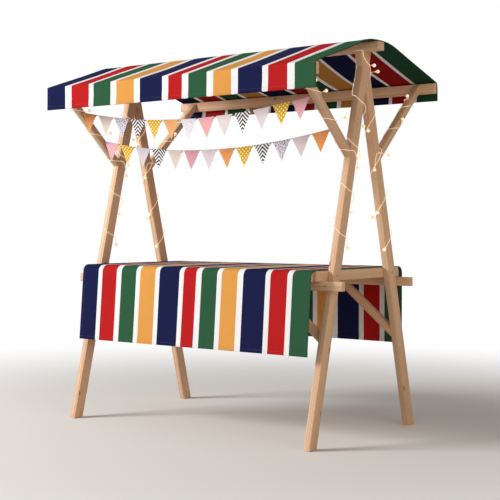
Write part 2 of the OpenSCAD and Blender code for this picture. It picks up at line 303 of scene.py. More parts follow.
# Adds a closed round tube along a line to the lists that meshPiece takes
def addTube(shape, line, radius, sides):
    places, faces, flat = shape
    start, lengths = len(places), lengthsAlong(line)
    for middle, (side, up) in zip(line, carriedAxes(line)):
        for k in range(sides):
            a = 2 * pi * k / sides
            places.append(middle + (side * cos(a) + up * sin(a)) * radius)
    for i in range(len(line) - 1):
        for k in range(sides):
            a, b = start + i * sides + k, start + i * sides + (k + 1) % sides
            faces.append((a, b, b + sides, a + sides))
            flat.append([(lengths[j], 2 * pi * radius * m / sides)
                         for j, m in ((i, k), (i, k + 1), (i + 1, k + 1), (i + 1, k))])
    for first, order in ((start, -1), (start + (len(line) - 1) * sides, 1)):
        faces.append(tuple(first + k for k in range(sides))[::order])
        flat.append([(0.0, 0.0)] * sides)


# Bunting strings: y, then x and z of the points that their solids have, in millimetres
bunting = {
    "upper": (-440, ((-774.5, 1702), (-644, 1678), (-524, 1659), (-404, 1644), (-284, 1633),
                     (-169, 1627), (-49, 1623), (71, 1622), (191, 1626), (306, 1632),
                     (426, 1642), (546, 1656), (666, 1672), (774.5, 1689))),
    "lower": (-260, ((-774.5, 1551), (-655, 1529), (-535, 1509), (-415, 1494), (-295, 1483),
                     (-180, 1476), (-60, 1473), (60, 1473), (180, 1476), (295, 1483),
                     (415, 1494), (535, 1508), (655, 1525), (774.5, 1545))),
    "diameter": 3 * mm,
    "steps": 12,
    "sides": 10,
    "twist": (2600.0, 1333.0),  # of its strands along and round it, in radians to a metre
}


def stringMaterial():
    material, tree, shader = newMaterial("twistedCotton")
    flat, along, around = flatPlace(tree)
    turns = [calc(tree, "MULTIPLY", way, twist) for way, twist in zip((along, around), bunting["twist"])]
    strand = calc(tree, "SINE", calc(tree, "ADD", *turns))
    # lighter on the strands' crowns and darker in the grooves between them, a painted shade that follows
    # the bump, with a random tone of the cotton
    shade = calc(tree, "MULTIPLY_ADD", strand, 0.25, noiseOf(tree, flat, 900.0, 3.0))
    colour = rampOf(tree, shade, [(0.2, rgb(58, 60, 76)), (0.8, rgb(104, 106, 122))])
    setSockets(tree, shader, Base_Color=colour, Roughness=0.9)
    bumpOf(tree, shader, strand, 0.6, 0.4 * mm)
    return material


twistedCotton = stringMaterial()
stringLines = {}
for level in ("upper", "lower"):
    y, places = bunting[level]
    points = [Vector((x, y, z)) * mm for x, z in places]
    line = smoothLine(points, bunting["steps"])
    shape = ([], [], [])
    addTube(shape, line, bunting["diameter"] / 2, bunting["sides"])
    string = meshPiece(level + "BuntingString", *shape)
    string.data.materials.append(twistedCotton)
    smoothShade(string, 60)
    settle(string, level + "_string")
    stringLines[level] = points
print("bunting strings hung")

# Flags: each a triangle of cloth, folded over its string with a narrow flap behind
flagCut = {
    "width": 107 * mm,
    "height": 101 * mm,
    "flap": 11 * mm,
    "sleeve": 2.4 * mm,  # from the string's middle to the cloth's
    "tip": 0.8 * mm,  # least width
    "thickness": 0.5 * mm,
    "weave": 0.9 * mm,
    "columns": 8,
    "rows": (3, 8, 16),  # up the flap, round the string and down the front
    "pinch": 0.55,  # how near to the string's line the flap is drawn in, in radii of the sleeve
    "stand": (5, 0.12),  # rows in which the front falls back, and how far off the line it ends
    "seed": 11,
    "bend": (-4, 6), "cup": (-3, 3), "turn": (-7, 7),  # least and most, in millimetres and degrees
    "upper": ("orange", "beige", "greySprig", "chevron", "yellowDot", "apricot", "whiteSprig",
              "salmon", "cream", "chevron", "oyster", "yellowDot", "rose"),
    "lower": ("rose", "yellowDot", "lilac", "chevron", "beige", "dustyPink", "pinkDot",
              "orange", "yellowDot", "chevron", "greySprig", "blush", "orange"),
}
# each flag cloth's colour, and the kind and colour of its print if it has one
flagPrints = {
    "orange": ((238, 156, 88),),
    "apricot": ((238, 172, 108),),
    "beige": ((228, 210, 200),),
    "greySprig": ((222, 218, 230), "sprig", (112, 108, 132)),
    "chevron": ((255, 255, 255), "chevron", (12, 10, 14)),
    "yellowDot": ((222, 166, 10), "dot", (255, 240, 150)),
    "whiteSprig": ((238, 236, 242), "sprig", (214, 202, 216)),
    "salmon": ((242, 178, 180),),
    "cream": ((236, 226, 224),),
    "oyster": ((230, 219, 224),),
    "rose": ((236, 174, 186), "dot", (242, 190, 198)),
    "lilac": ((222, 214, 226),),
    "dustyPink": ((226, 160, 174),),
    "pinkDot": ((228, 222, 230), "dot", (240, 204, 212)),
    "blush": ((230, 214, 216),),
}
printLayout = {
    "chevron": (21 * mm, 9.62, 0.52),  # pitch, start of the first band in pitches, inked share
    # turn in degrees, pitch, looseness of the rows and radius of a spot
    "dot": (45, 16 * mm, 0.0, 5.0 * mm),
    "sprig": (20, 13 * mm, 0.75, 3.2 * mm),
}


def printShare(tree, kind, u, v):
    # where a flag's second colour shows, from 0 to 1
    if kind == "chevron":
        pitch, start, inked = printLayout[kind]
        slant = calc(tree, "MULTIPLY_ADD", calc(tree, "ABSOLUTE", u), -1.0, v)
        phase = calc(tree, "FRACT", calc(tree, "MULTIPLY_ADD", slant, 1 / pitch, start))
        return calc(tree, "LESS_THAN", phase, inked)
    turn, pitch, loose, radius = printLayout[kind]
    flat = addNode(tree, "CombineXYZ", X=u, Y=v).outputs[0]
    turned = addNode(tree, "Mapping", {"vector_type": "TEXTURE"}, Vector=flat,
                     Rotation=(0, 0, radians(turn))).outputs[0]
    spots = addNode(tree, "TexVoronoi", {"voronoi_dimensions": "2D"}, Vector=turned,
                    Scale=1 / pitch, Randomness=loose)
    return calc(tree, "LESS_THAN", spots.outputs["Distance"], radius / pitch)


def weaveHeight(tree, u, v, pitch):
    # crossing threads, pitch metres apart
    waves = [calc(tree, "SINE", calc(tree, "MULTIPLY", part, 2 * pi / pitch)) for part in (u, v)]
    return calc(tree, "MULTIPLY", *waves)


def flagMaterial(name):
    base, *printed = flagPrints[name]
    material, tree, shader = newMaterial("flag_" + name)
    flat, u, v = flatPlace(tree)
    colour = rgb(*base)
    if printed:
        kind, ink = printed
        colour = blendColours(tree, printShare(tree, kind, u, v), colour, rgb(*ink))
    colour = shadeBy(tree, colour, noiseOf(tree, flat, 160.0, 4.0), 0.3, 0.7, grey(0.93))
    setSockets(tree, shader, Base_Color=colour, Roughness=0.85, Sheen_Weight=0.15)
    bumpOf(tree, shader, weaveHeight(tree, u, v, flagCut["weave"]), 0.25, 0.1 * mm)
    return material


flagMaterials = {name: flagMaterial(name) for name in flagPrints}


def flagProfile():
    # distance in front of the string's line and drop under it, from the flap's edge to the tip
    r, flap, height, pinch = (flagCut[part] for part in ("sleeve", "flap", "height", "pinch"))
    up, over, down = flagCut["rows"]
    fallRows, least = flagCut["stand"]
    behind = [(-r * pinch - r * (1 - pinch) * (1 - k / up), flap * (1 - k / up)) for k in range(up)]
    top = [(-r * cos(pi * k / over), -r * sin(pi * k / over)) for k in range(over + 1)]
    front = [(r * max(least, 1 - k / fallRows), height * k / down) for k in range(1, down + 1)]
    return behind + top + front


def makeFlag(name, a, b, draws, material):
    middle, way = (a + b) / 2, (b - a).normalized()
    bend, cup, turn = (draws.uniform(*flagCut[part]) for part in ("bend", "cup", "turn"))
    profile, columns = flagProfile(), flagCut["columns"]
    places, flat = [], []
    arc = -flagCut["flap"] - pi * flagCut["sleeve"]
    for i, (out, drop) in enumerate(profile):
        if i:
            arc += (Vector((out, drop)) - Vector(profile[i - 1])).length
        fall = max(drop, 0.0) / flagCut["height"]
        width = max(flagCut["width"] * (1 - fall), flagCut["tip"])
        angle = radians(turn) * fall
        for k in range(columns + 1):
            u = (k / columns - 0.5) * width
            front = out + bend * mm * fall**2 + cup * mm * fall * (2 * u / flagCut["width"])**2
            places.append(middle + way * (u * cos(angle)) + Vector((0, -front - u * sin(angle), -drop)))
            flat.append((u, arc))
    piece = gridPiece(name, places, flat, columns + 1, turned=True)
    piece.data.materials.append(material)
    applyModifier(piece, "SOLIDIFY", thickness=flagCut["thickness"], offset=0.0)
    smoothShade(piece, 60)
    return piece


draws = random.Random(flagCut["seed"])
for level, points in stringLines.items():
    for i, (a, b) in enumerate(zip(points, points[1:])):
        flag = makeFlag(f"{level}Flag{i + 1:02d}", a, b, draws, flagMaterials[flagCut[level][i]])
        settle(flag, level + "_flags")
print("flags hung")

# Colours of the two striped cloths, and the widths of their stripes in millimetres
clothColours = {
    "navy": rgb(30, 35, 76),
    "red": rgb(191, 36, 38),
    "green": rgb(50, 94, 66),
    "ochre": rgb(230, 163, 83),
    "white": rgb(248, 248, 250),
}
stripeOrder = ("navy", "white", "red", "white", "green", "white", "ochre", "white")
canopyCut = {
    "name": "canopy", "node": "canopy", "slot": "canopy_cloth",
    "held": "stretched", "restsOn": ["ridge_beam", "front_eave_rail", "rear_eave_rail"],
    "rowStep": 26 * mm, "bendStep": 2.5 * mm,  # from row to row, and where its section bends
    "stripes": (137, 48, 133, 37, 127, 43, 124, 42, 156, 45, 90, 41, 119, 42, 113, 40, 148, 39,
                114, 38, 124),
    "rearEave": 1843 * mm,
    "ridgeRound": 150 * mm,  # from the ridge to where the straight slopes begin
    "ridgeSeat": 1.5 * mm,  # that the cloth lies lower over the beam than its solid's top
    "frontRoundDrop": 14.5 * mm,
    "rearRoundDrop": 21.5 * mm,
    "frontValance": 124 * mm,
    "rearValance": 98 * mm,
    "depth": 1.0 * mm,  # of the cloth's middle under the face of its solid
    "sink": 1.5 * mm,  # further down that the single cloth lies away from the hems
    "thickness": 1.4 * mm,
    "layerGap": 3.0 * mm,  # from one layer's middle to the next in a hem
    "hem": 22 * mm,
    "stitchIn": 18 * mm,
    "foldRound": 7 * mm,
    "columnStep": 12 * mm,
    "billow": 1.6 * mm,
    "wave": 2.2 * mm,
    "hemPower": 1.3,  # how late towards the hem a valance begins to wave
    "stillFrom": 0.55,  # share of the front valance, from its hem up, that waves
    "frontWaves": ((0.6, 0.53, 0.8, 0), (0.4, 0.29, 2.1, 0)),  # share, length, phase, drift
    "rearWaves": ((0.6, 0.47, 2.8, 0), (0.4, 0.31, 0.4, 0)),
    "slopeWaves": ((1.0, 0.61, 0.0, 3), (0.5, 0.27, 1.3, 5)),
    "rearLoose": 7 * mm,  # that the rear valance stands off its rail
    "looseBy": 0.3,  # share of the rear valance over which it leaves its rail
    "rearSag": 14 * mm,  # of the rear slope between the beam and its rail, half way along
    "sagLean": 1.5,  # over 1, the sag is deepest nearer to the eave
    "sagSpan": 1.8,
    "innerLap": 9.5,  # in millimetres, by which the coloured stripes cover the white ones inside
    # painted shade: the share to which the coloured stripes are darkened on the faces that look down or
    # inward
    "innerPaintedShade": 0.62,
}
tableClothCut = {
    "name": "tableCloth", "node": "table_cloth", "slot": "table_cloth",
    "held": "draped", "restsOn": ["table_top", "front_table_edge", "rear_table_edge"],
    "rowStep": 24 * mm, "bendStep": 4 * mm,
    "stripes": (115, 34, 109, 33, 112, 29, 110, 30, 137, 32, 85, 32, 106, 29, 106, 33, 137, 31,
                104, 31, 111),
    "edgeRadius": 35 * mm,
    "depth": 0.7 * mm,
    "sink": 0.6 * mm,
    "thickness": 1.2 * mm,
    "layerGap": 1.6 * mm,
    "hem": 20 * mm,
    "stitchIn": 16 * mm,
    "frontFlare": 4.6,  # degrees off upright
    "rearFlare": 0.0,
    "columnStep": 12 * mm,
    "wave": 2.0 * mm,
    "hemPower": 1.5,
    "waves": ((0.6, 0.71, 0.0, 1), (0.4, 0.38, 0.0, 2)),
    "drifts": (0.9, 2.4),  # of the waves in the front and the rear hang
    "innerLap": 0,
}
# what the two striped cloths share
canvas = {
    "grime": 0.05,  # how much its soft patches darken it
    "threads": (1400, 60, 1),  # fineness of the single threads across and along it
    "weave": 1.1 * mm,
    "stitch": 4.5 * mm,
    "stitched": 0.7,  # share of each stitch that lies on top
    "seamHalf": 0.4 * mm,
    "bendFrom": 0.9,  # degrees from one step of a section line to the next that call for a row
}
hemFold = ((1, 1), (0.3, 0.85), (0.0, 0.5), (0.3, 0.15), (1, 0))  # millimetres in, layers deep
hemRows = len(hemFold) + 2


def stripeStops(cut, lap, shade):
    # where each stripe begins, with the coloured ones lapped over the white ones at both sides, and
    # darkened to a share as painted shade
    place, stops = 0.0, []
    for i, stripe in enumerate(cut["stripes"]):
        start = place + (lap if i % 2 else -lap)
        colour = clothColours[stripeOrder[i % 8]]
        if i % 2 == 0:
            colour = tuple(shade * c for c in colour[:3]) + (1,)
        stops.append((max(start, 0.0) / sum(cut["stripes"]), colour))
        place += stripe
    return stops


def shadedUndersideShare(tree):
    # 1 on the faces that look down or towards the middle plane of the stall, which take the painted shade
    place = addNode(tree, "SeparateXYZ", Vector=objectPlace(tree))
    way = addNode(tree, "SeparateXYZ", Vector=addNode(tree, "NewGeometry").outputs["True Normal"])
    outward = calc(tree, "MULTIPLY_ADD", place.outputs[1], way.outputs[1], way.outputs[2])
    return calc(tree, "LESS_THAN", outward, 0.0)


def stripedCanvas(cut, width, length):
    material, tree, shader = newMaterial(cut["name"] + "Canvas")
    flat, u, v = flatPlace(tree)
    share = calc(tree, "MULTIPLY", u, 1 / width)
    colour = rampOf(tree, share, stripeStops(cut, 0.0, 1.0), "CONSTANT")
    # the faces that look down or inward take a copy with the coloured stripes lapped wider and darkened, a
    # painted shade of the canopy's underside
    if cut["innerLap"]:
        inner = rampOf(tree, share, stripeStops(cut, cut["innerLap"], cut["innerPaintedShade"]), "CONSTANT")
        colour = blendColours(tree, shadedUndersideShare(tree), colour, inner)
    # the cloth's slight unevenness, in large soft patches and in single threads
    patches = noiseOf(tree, flat, 5.0, 3.0)
    colour = shadeBy(tree, colour, patches, 0.3, 0.7, grey(1 - canvas["grime"]))
    slub = noiseOf(tree, stretch(tree, flat, canvas["threads"]), 1.0, 2.0)
    colour = shadeBy(tree, colour, slub, 0.35, 0.65, grey(0.93))
    stitches = calc(tree, "MAXIMUM", stitchRows(tree, cut, v, u, length),
                    stitchRows(tree, cut, u, v, width))
    thread = blendColours(tree, 0.35, colour, rgb(150, 146, 140))
    colour = blendColours(tree, stitches, colour, thread)
    setSockets(tree, shader, Base_Color=colour, Roughness=0.88, Specular_IOR_Level=0.02)
    height = calc(tree, "MULTIPLY_ADD", stitches, -2.5, weaveHeight(tree, u, v, canvas["weave"]))
    bumpOf(tree, shader, height, 0.35, 0.15 * mm)
    return material


def stitchRows(tree, cut, across, along, size):
    # a row of stitches inside the hem at each side of a sheet that is size across
    near = [calc(tree, "ABSOLUTE", calc(tree, "SUBTRACT", across, place))
            for place in (cut["stitchIn"], size - cut["stitchIn"])]
    row = calc(tree, "LESS_THAN", calc(tree, "MINIMUM", *near), canvas["seamHalf"])
    dash = calc(tree, "FRACT", calc(tree, "MULTIPLY", along, 1 / canvas["stitch"]))
    return calc(tree, "MULTIPLY", row, calc(tree, "LESS_THAN", dash, canvas["stitched"]))


# Stations along a cut edge to edge: distance from the first edge and layers deep, with both hems
def hemmedStations(length, step, hem):
    fold = 1 * mm
    start = [(hem, 1), (hem / 2, 1)] + [(fold * inward, layer) for inward, layer in hemFold]
    count = max(int((length - 2 * fold) / step), 2)
    middle = [(fold + (length - 2 * fold) * k / count, 0) for k in range(1, count)]
    return start + middle + [(length - s, layer) for s, layer in reversed(start)]


# A line in the plane across the stall as even steps, its corners rounded over a reach
def roundedLine(points, step, reach):
    lengths = lengthsAlong(points)
    count = int(lengths[-1] / step)
    even, j = [], 0
    for k in range(count + 1):
        s = lengths[-1] * k / count
        while j < len(points) - 2 and lengths[j + 1] < s:
            j += 1
        even.append(points[j].lerp(points[j + 1], (s - lengths[j]) / (lengths[j + 1] - lengths[j])))
    wide = int(reach / step)
    rounded = []
    for i in range(len(even)):
        n = min(wide, i, len(even) - 1 - i)
        window = even[i - n:i + n + 1]
        rounded.append(sum(window, Vector((0, 0))) / len(window))
    return rounded


# From 0 to 1 with level ends
def easeIn(share):
    share = min(max(share, 0.0), 1.0)
    return share * share * (3 - 2 * share)


# Waves along x added up, whose phases drift with t
def ripple(x, waves, t=0.0):
    return sum(high * sin(2 * pi * x / long + phase + drift * t)
               for high, long, phase, drift in waves)


# A hemmed sheet over a section line, with lift(s, x, total) as how far it stands off its line
def hangSheet(cut, line, lift):
    low, high = (corner.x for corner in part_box(cut["node"]))
    steps = lengthsAlong(line)
    total = steps[-1]

    def onLine(s):
        i = min(int(s / total * (len(line) - 1)), len(line) - 2)
        while i < len(line) - 2 and steps[i + 1] < s:
            i += 1
        while i > 0 and steps[i] > s:
            i -= 1
        a, b = line[i], line[i + 1]
        way = (line[min(i + 2, len(line) - 1)] - line[max(i - 1, 0)]).normalized()
        return a.lerp(b, (s - steps[i]) / (b - a).length), Vector((-way.y, way.x))

    rows = bentRows(cut, line, steps)
    columns = hemmedStations(high - low, cut["columnStep"], cut["hem"])
    places, flat = [], []
    for s, rowLayer in rows:
        place, outward = onLine(s)
        for t, columnLayer in columns:
            x = low + t
            inside = min(s, total - s, t, high - low - t) - cut["hem"]
            off = lift(s, x, total) - cut["sink"] * easeIn(inside / cut["hem"])
            off -= (rowLayer + columnLayer) * cut["layerGap"]
            places.append((x, place.x + outward.x * off, place.y + outward.y * off))
            flat.append((t, s))
    piece = gridPiece(cut["name"] + "Sheet", places, flat, len(columns))
    piece.data.materials.append(stripedCanvas(cut, high - low, total))
    applyModifier(piece, "SOLIDIFY", thickness=cut["thickness"], offset=0.0)
    smoothShade(piece, 50)
    settle(piece, cut["node"])


# Rows closer together near the bends of a section line
def bentRows(cut, line, steps):
    stations = hemmedStations(steps[-1], cut["rowStep"], cut["hem"])
    extra = []
    for s, a, b, c in zip(steps[1:], line, line[1:], line[2:]):
        bent = (b - a).angle(c - b) > radians(canvas["bendFrom"])
        if bent and (not extra or s - extra[-1][0] > cut["bendStep"]):
            extra.append((s, 0))
    middle = sorted(stations[hemRows:-hemRows] + extra)
    kept = [middle[0]]
    for station in middle[1:]:
        if station[0] - kept[-1][0] > cut["bendStep"] * 0.6:
            kept.append(station)
    return stations[:hemRows] + kept + stations[-hemRows:]


def canopySlope(eave, roundDrop):
    # straight from the fold to the round over the ridge beam, then a curve that ends level
    low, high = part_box("canopy")
    ridge, reach = high.z - canopyCut["ridgeSeat"], canopyCut["ridgeRound"]
    power = (ridge - roundDrop - eave) / (high.y - reach) * reach / roundDrop
    points = [Vector((high.y, eave))]
    for k in range(25):
        share = 1 - k / 24
        points.append(Vector((reach * share, ridge - roundDrop * share**power)))
    return points


def canopyLine():
    cut, (low, high) = canopyCut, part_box("canopy")
    front = canopySlope(low.z + cut["frontValance"], cut["frontRoundDrop"])
    rear = canopySlope(cut["rearEave"], cut["rearRoundDrop"])
    points = [Vector((-high.y, low.z))] + [Vector((-p.x, p.y)) for p in front] + rear[-2::-1]
    points.append(Vector((high.y, cut["rearEave"] - cut["rearValance"])))
    outer = roundedLine(points, 2 * mm, cut["foldRound"])
    ways = [wayAt(outer, i) for i in range(len(outer))]
    return [p - Vector((-way.y, way.x)) * cut["depth"] for p, way in zip(outer, ways)]


def canopyLift(s, x, total):
    # a slight wave along each hem, a slight billow of each slope, and the sag of the rear one
    cut = canopyCut
    front, rear, wave, power = (cut[k] for k in ("frontValance", "rearValance", "wave", "hemPower"))
    if s < front:
        free = max(0.0, 1 - s / (front * cut["stillFrom"]))**power
        return wave * free * ripple(x, cut["frontWaves"])
    if s > total - rear:
        hung = (s - total + rear) / rear
        loose = cut["rearLoose"] * easeIn(hung / cut["looseBy"])
        return loose + wave * max(0.0, 2 * hung - 1)**power * ripple(x, cut["rearWaves"])
    t = 2 * (s - front) / (total - front - rear)
    free = cut["billow"] * sin(pi * t)**2
    down = min(max(t - 1, 0.0), 1.0)**cut["sagLean"]
    sag = cut["rearSag"] * sin(pi * down) * cos(pi * x / cut["sagSpan"])
    return free * (ripple(x, cut["slopeWaves"], t) - 1) - sag


hangSheet(canopyCut, canopyLine(), canopyLift)
print("canopy stretched")


def tableClothHalf(lean):
    # from a hem up the hang, then round the table's edge
    low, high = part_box("table_cloth")
    edge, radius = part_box("rear_table_edge")[1], tableClothCut["edgeRadius"]
    r = high.z - tableClothCut["depth"] - edge.z + radius
    angles = [lean + (pi / 2 - lean) * k / 24 for k in range(25)]
    arc = [Vector((edge.y - radius + r * cos(a), edge.z - radius + r * sin(a))) for a in angles]
    drop = arc[0].y - low.z
    return [arc[0] + Vector((drop * tan(lean), -drop))] + arc


def tableClothLine():
    front = tableClothHalf(radians(tableClothCut["frontFlare"]))
    rear = tableClothHalf(radians(tableClothCut["rearFlare"]))
    return roundedLine([Vector((-p.x, p.y)) for p in front] + rear[::-1], 2 * mm, 2 * mm)


def tableClothLift(s, x, total):
    cut, (low, high) = tableClothCut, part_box("table_cloth")
    free = max(0.0, 1 - min(s, total - s) / (high.z - low.z))**cut["hemPower"]
    drift = cut["drifts"][0 if s < total / 2 else 1]
    return cut["wave"] * free * ripple(x, cut["waves"], drift)


hangSheet(tableClothCut, tableClothLine(), tableClothLift)
print("table cloth draped")

# Timber: an eased copy of each wooden node, with the grain's own coordinates kept on its points
timber = {
    "ease": 1.8 * mm,
    "seed": 5,
    "shifts": ((1, 9), (0.02, 0.05), (0.03, 0.09)),  # least and most from the heart, in metres
    "knots": (4.6, 11.0, 11.0),  # to a metre along and across a board
    "nodes": [f"{end}_{side}_{kind}" for kind in ("post", "strut", "brace")
              for end in ("front", "rear") for side in ("left", "right")]
             + ["ridge_beam", "front_eave_rail", "rear_eave_rail", "front_table_rail",
                "rear_table_rail", "left_table_end", "right_table_end", "front_table_edge",
                "rear_table_edge", "table_top"],
}


def pineMaterial():
    material, tree, shader = newMaterial("planedPine")
    grain = addNode(tree, "Attribute", {"attribute_name": "grain"}).outputs["Vector"]
    # growth rings round the log's heart, which runs along X
    rings = addNode(tree, "TexWave",
                    {"wave_type": "RINGS", "rings_direction": "X", "wave_profile": "SAW"},
                    Vector=stretch(tree, grain, (0.09, 1.0, 1.0)), Scale=42.0, Distortion=3.2,
                    Detail=3.0, Detail_Scale=14.0, Detail_Roughness=0.6).outputs["Fac"]
    colour = rampOf(tree, rings, [
        (0.0, rgb(243, 211, 180)), (0.55, rgb(239, 203, 169)), (0.86, rgb(228, 184, 146)),
        (0.95, rgb(220, 173, 134)), (1.0, rgb(241, 207, 175))])
    # broad streaks along the board, then fine fibres
    streaks = noiseOf(tree, stretch(tree, grain, (1.1, 26.0, 26.0)), 1.0, 4.0)
    colour = shadeBy(tree, colour, streaks, 0.3, 0.7, rgb(232, 222, 212), 0.8)
    fibres = noiseOf(tree, stretch(tree, grain, (28.0, 900.0, 900.0)), 1.0, 3.0)
    colour = shadeBy(tree, colour, fibres, 0.32, 0.6, (0.86, 0.84, 0.82, 1), 0.6)
    # a few small knots
    knots = addNode(tree, "TexVoronoi", {"feature": "F1"}, Scale=1.0,
                    Vector=stretch(tree, grain, timber["knots"]))
    knotTone = rampOf(tree, knots.outputs["Distance"], [
        (0.0, rgb(168, 122, 84)), (0.035, rgb(190, 146, 108)), (0.06, rgb(226, 202, 180)),
        (0.1, grey(1))])
    colour = blendColours(tree, 0.85, colour, knotTone, "MULTIPLY")
    rough = addNode(tree, "MapRange", Value=fibres, To_Min=0.52, To_Max=0.72).outputs[0]
    setSockets(tree, shader, Base_Color=colour, Roughness=rough, Specular_IOR_Level=0.2)
    bumpOf(tree, shader, calc(tree, "MULTIPLY_ADD", rings, 0.4, fibres), 0.22, 0.6 * mm)
    return material


def keepGrain(piece, draws):
    # X of the grain's coordinates runs along the piece's longest edge, with the heart off to a side
    points = piece.data.vertices
    runs = [points[e.vertices[1]].co - points[e.vertices[0]].co for e in piece.data.edges]
    way = max(runs, key=lambda run: run.length).normalized()
    side = Vector((1, 0, 0)) if abs(way.x) < 0.5 else Vector((0, 0, 1))
    side = (side - way * side.dot(way)).normalized()
    up = way.cross(side)
    middle = sum((p.co for p in points), Vector()) / len(points)
    shift = Vector([draws.uniform(*span) for span in timber["shifts"]])
    grain = piece.data.attributes.new("grain", "FLOAT_VECTOR", "POINT")
    for p, kept in zip(points, grain.data):
        d = p.co - middle
        kept.vector = Vector((d.dot(way), d.dot(side), d.dot(up))) + shift


def easedCopy(node, ease):
    piece = addPiece(node + "_timber", frame["nodes"][node].data.copy())
    chooseOnly(piece)
    bpy.ops.object.mode_set(mode="EDIT")
    bpy.ops.mesh.select_all(action="SELECT")
    bpy.ops.mesh.remove_doubles(threshold=0.02 * mm)
    bpy.ops.mesh.dissolve_limited(angle_limit=radians(0.6))  # one face for each flat side
    bpy.ops.object.mode_set(mode="OBJECT")
    applyModifier(piece, "BEVEL", width=ease, segments=2, limit_method="ANGLE", angle_limit=radians(30))
    return piece


# Where the posts stand: the front right one's faces, and the middle of its width at any height
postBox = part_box("front_right_post")
frameMid = (postBox[0].x + postBox[1].x) / 2
postHalfT = (postBox[1].x - postBox[0].x) / 2
footY = next(m["pos_m"][1] for m in frame["record"]["mounts"] if m["name"] == "front_right_foot")
postHalfW = footY - postBox[0].y
postTop = postBox[1].z
postSlope = (postBox[1].y - postHalfW - footY) / postTop


def postY(z):
    return footY + postSlope * z


# Screws, where the posts hold the table's ends and rails
screw = {
    "head": 8.4 * mm,
    "recess": 4.6 * mm,
    "recessDepth": 1.2 * mm,
    "body": 4.8 * mm,
    "proud": 0.3 * mm,
    "points": 24,
    "lobes": 6,
    "lobeIn": 0.68,  # how far the star's inner points are drawn in
    "taper": 0.85,  # of the recess towards its floor
}


def screwMaterial():
    material, tree, shader = newMaterial("dulledSteel")
    cloud = noiseOf(tree, objectPlace(tree), 700.0, 3.0)
    colour = rampOf(tree, cloud, [(0.3, rgb(58, 48, 42)), (0.7, rgb(104, 92, 82))])
    setSockets(tree, shader, Base_Color=colour, Metallic=0.7, Roughness=0.5)
    bumpOf(tree, shader, cloud, 0.2, 0.1 * mm)
    return material


def screwModel():
    # a countersunk head with a star recess, facing +Z and standing proud of the origin
    reach = screw["recess"] / 2 + 0.1 * mm
    piece = addPrimitive(bpy.ops.mesh.primitive_cylinder_add, vertices=screw["points"],
                         radius=screw["head"] / 2, depth=screw["body"])
    choosePoints(piece, lambda p: p.z > 0)
    bpy.ops.mesh.inset(thickness=(screw["head"] - screw["recess"]) / 2)
    choosePoints(piece, lambda p: (p.z > 0 and p.xy.length < reach
                                   and cos(screw["lobes"] * atan2(p.y, p.x)) < 0))
    bpy.ops.transform.resize(value=(screw["lobeIn"], screw["lobeIn"], 1), center_override=(0, 0, 0))
    choosePoints(piece, lambda p: p.z > 0 and p.xy.length < reach)
    extrudeAlong(-screw["recessDepth"], screw["taper"])
    raiseAll(screw["proud"] - screw["body"] / 2)
    piece.data.materials.append(screwMaterial())
    smoothShade(piece, 40)
    return piece


def screwPlaces():
    spots = {}
    ends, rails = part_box("right_table_end"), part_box("rear_table_rail")
    endZ, railZ = (ends[0].z + ends[1].z) / 2, (rails[0].z + rails[1].z) / 2
    for across, side in ((1, "right"), (-1, "left")):
        for deep, end in ((1, "rear"), (-1, "front")):
            outside = (across * (frameMid + postHalfT), deep * postY(endZ), endZ)
            spots[f"{end}_{side}_post"] = [(Vector(outside), Vector((across, 0, 0)))]
            face = Vector((across * frameMid, deep * rails[1].y, railZ))
            spots.setdefault(f"{end}_table_rail", []).append((face, Vector((0, deep, 0))))
    return spots


planedPine, screwHead, screwSpots = pineMaterial(), screwModel(), screwPlaces()
draws = random.Random(timber["seed"])
for node in timber["nodes"]:
    piece = easedCopy(node, timber["ease"])
    keepGrain(piece, draws)
    piece.data.materials.clear()
    piece.data.materials.append(planedPine)
    smoothShade(piece, 35)
    for place, outward in screwSpots.get(node, ()):
        joinPieces([piece, placedCopy("screwHead", screwHead, place, outward)])
    settle(piece, node)
bpy.data.objects.remove(screwHead)
print("timber eased and screwed")

# Lights: the routes repeat those of the cables' solids, in millimetres, degrees and metres
lightRun = {
    "cable": 4.4 * mm,
    "gap": 0.1 * mm,
    "wire": 1.1 * mm,  # radius of one of the two wires
    "twist": 14 * mm,  # length of one turn of the two wires
    "sides": 6,
    "steps": 8,
    "even": 2.4 * mm,  # least length from one ring of a wire to the next
    "foot": 960 * mm,
    "strutFoot": 1410 * mm,
    "strutDrop": 16 * mm,
    "strutWidth": 34 * mm,
    "turns": 5,
    "frontStart": 330, "frontPitch": 223,
    "rearStart": 291, "rearPitch": 210,
    "frontTurn": ((225, 0, 0), (270, 16, 0), (315, 33, 0), (360, 46, 0), (405, 60, 2),
                  (430, 90, 24), (450, 115, 22), (470, 140, 8), (495, 160, 0), (540, 195, 0)),
    "rearTurn": ((225, 0, 0), (270, 16, 8), (315, 26, 5), (335, 60, 5), (360, 84, 0),
                 (405, 108, 0), (450, 133, 0), (495, 168, 0), (540, 192, 0)),
    "topRun": ((-1, -30, -90), (-1, -38, -12), (-1, -39, 1.8), (1, -39, 1.8),
               (1, -32, -15), (1, -20, -35), (1, 10, -55), (1, 28, -65)),
    "rearLeadIn": ((315, 100, 0), (285, 150, 4), (270, 210, 4)),
    "strutTurns": (0.79, 0.48, 0.13),
    "strutTurn": ((225, 0), (315, 17), (405, 22), (495, 40)),
    "strutStop": 360,  # bearing before which the last turn leaves for the post
    "strutStart": ((90, -25), (135, -15)),
    "strutTail": ((-38, 35), (-9, 10), (9, -30)),
    "frontLights": ((0, 7, (15, 20, -30)), (1, 5, (15, -10, 10)), (2, 7, (30, 0, -20)),
                    (2, 9, (-10, -20, 10))),
    "rearLights": ((0, 6, (20, -15, 0)), (2, 6, (5, -15, -10)), (2, 7, (-20, 5, -5))),
    "topLights": ((7, (30, 0, -15)), (8, (25, 20, 20))),
    "frontStrutLights": ((0, (-10, 25, 0)), (4, (15, 20, 5)), (8, (35, 30, 15))),
    "rearStrutLights": ((0, (-10, 25, 0)), (7, (10, -10, 45)), (11, (20, 0, -10))),
    "endLead": 22 * mm,
    "lead": 2 * mm,
}
